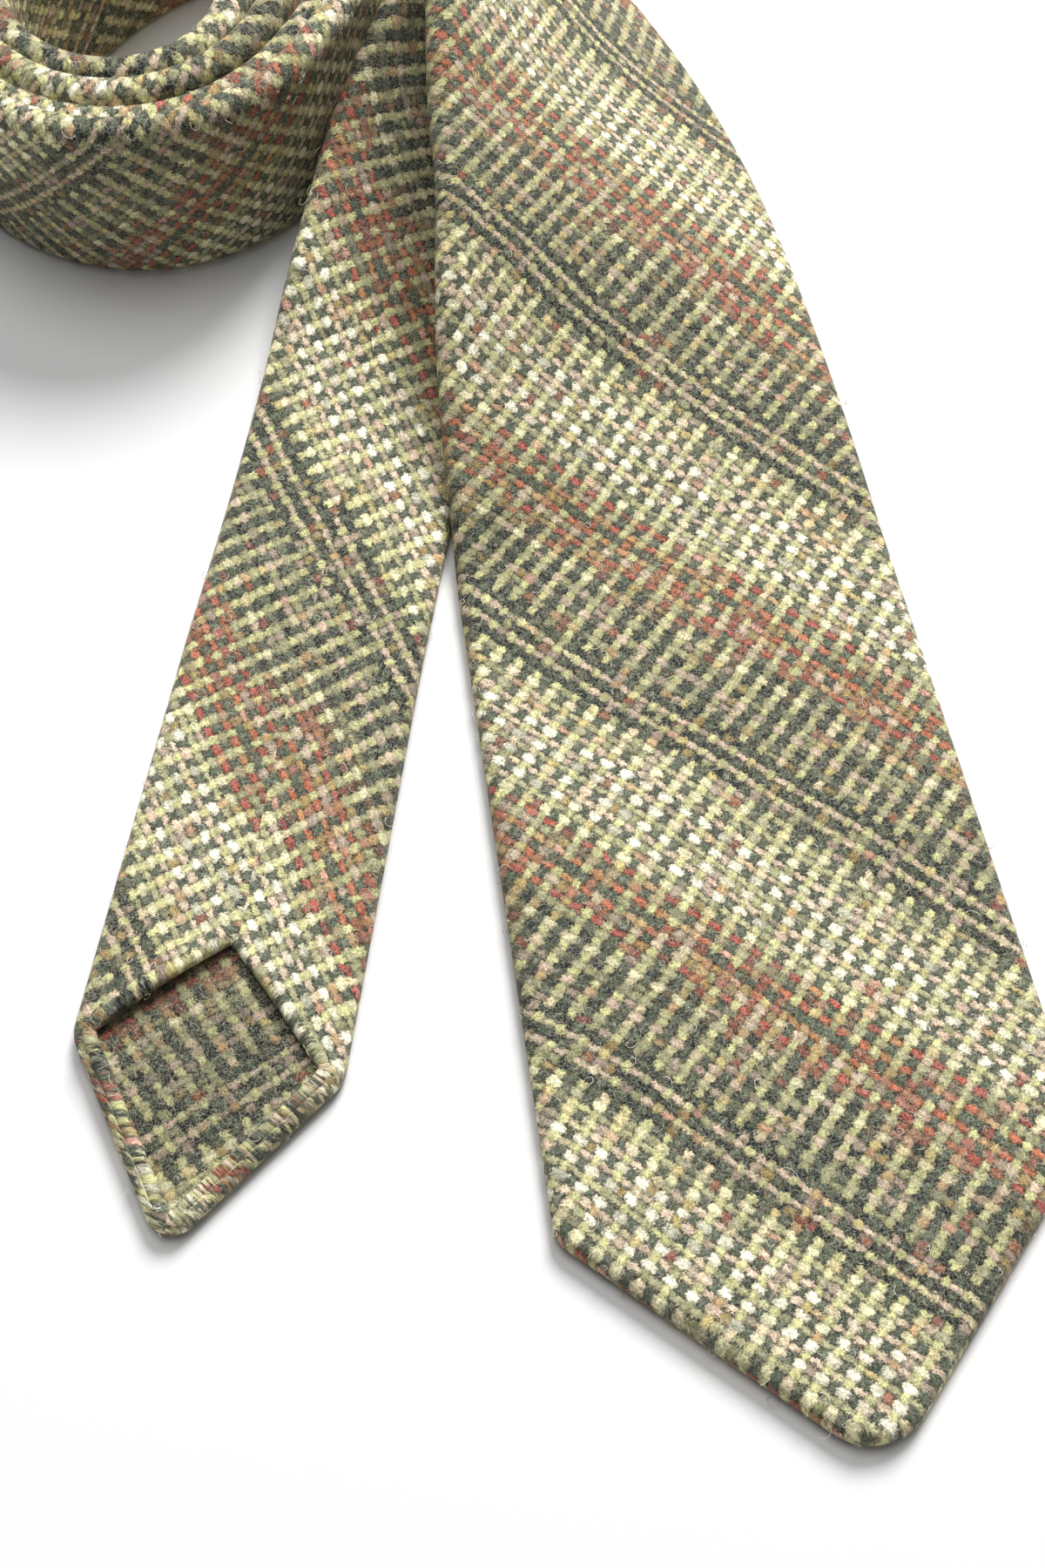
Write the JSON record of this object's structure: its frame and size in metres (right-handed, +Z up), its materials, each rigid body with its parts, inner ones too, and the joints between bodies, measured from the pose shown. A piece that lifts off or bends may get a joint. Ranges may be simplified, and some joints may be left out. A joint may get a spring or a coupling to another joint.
{
  "type": "necktie",
  "caption": "Wool tweed necktie with pointed ends, laid flat with its doubled neck band rolled into a standing coil.",
  "frame": {"origin": "middle of the footprint on the table the tie lies on", "axes": "+Z up from the table; +Y along the tie from its points towards the rolled band; +X towards the wide end's side"},
  "size_m": [0.1938, 0.3002, 0.0557],
  "materials": {
    "tweed": "brushed olive wool tweed with a bias check",
    "interlining": "soft unbleached wool",
    "thread": "matte sewing thread"
  },
  "bodies": {
    "neck": {"blade_shell_upper": "tweed", "blade_panel_seam": "tweed", "tail_shell_upper": "tweed", "tail_panel_seam": "tweed", "neck_shell": "tweed", "keeper_loop": "tweed", "blade_interlining_upper": "interlining", "tail_interlining_upper": "interlining", "neck_interlining": "interlining", "blade_slip_stitch_upper": "thread", "tail_slip_stitch_upper": "thread", "neck_slip_stitch": "thread", "keeper_loop_tacks": "thread"},
    "blade": {"blade_shell_end": "tweed", "blade_interlining_end": "interlining", "blade_tipping": "tweed", "blade_bar_tack": "thread", "blade_slip_stitch_end": "thread"},
    "tail": {"tail_shell_end": "tweed", "tail_interlining_end": "interlining", "tail_tipping": "tweed", "tail_bar_tack": "thread", "tail_slip_stitch_end": "thread"}
  },
  "joints": [
    {"name": "blade_lift", "type": "hinge", "parent": "neck", "child": "blade", "pos_m": [0.03773, -0.00406, 0.00382], "axis": [-0.9833, -0.1822, 0], "range_deg": [0, 90]},
    {"name": "tail_lift", "type": "hinge", "parent": "neck", "child": "tail", "pos_m": [-0.02332, -0.02201, 0.00382], "axis": [-0.9854, 0.1702, 0], "range_deg": [0, 90]}
  ]
}
